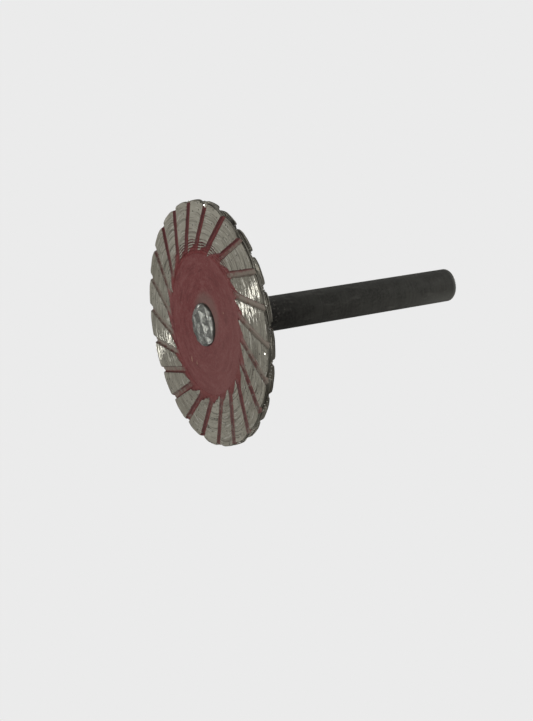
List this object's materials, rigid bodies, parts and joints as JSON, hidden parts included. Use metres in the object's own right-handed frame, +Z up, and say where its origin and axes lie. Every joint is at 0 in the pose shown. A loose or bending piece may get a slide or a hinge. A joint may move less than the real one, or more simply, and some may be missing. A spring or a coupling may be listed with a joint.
{
  "type": "diamond blade",
  "caption": "Small round cutting disc with a slant-grooved diamond rim and a painted core, staked on a plain round shank.",
  "frame": {"origin": "on the spin axis, in the plane of the shank's shoulder, where the shank meets the washer behind the blade", "axes": "+Y along the shank from the shoulder to its free end, so the blade's front face looks along -Y; +Z up; +X to the right seen from the front"},
  "size_m": [0.041, 0.0517, 0.041],
  "materials": {
    "sintered_bond": "ground sintered metal bond, olive grey, with fine arc-shaped grinding marks and pores",
    "diamond": "small faceted crystals, pale yellow-grey",
    "core_paint": "dull brownish red paint, semi-matt, worn off the tops of the rim's teeth",
    "bright_steel": "bare steel, cold-worked, silver grey",
    "black_oxide_steel": "black oxide over a turned surface, semi-matt"
  },
  "bodies": {
    "root": {"turbo_rim": "sintered_bond", "diamond_grit": "diamond", "blade_core": "core_paint", "backing_washer": "bright_steel", "mandrel": "black_oxide_steel"}
  },
  "joints": []
}
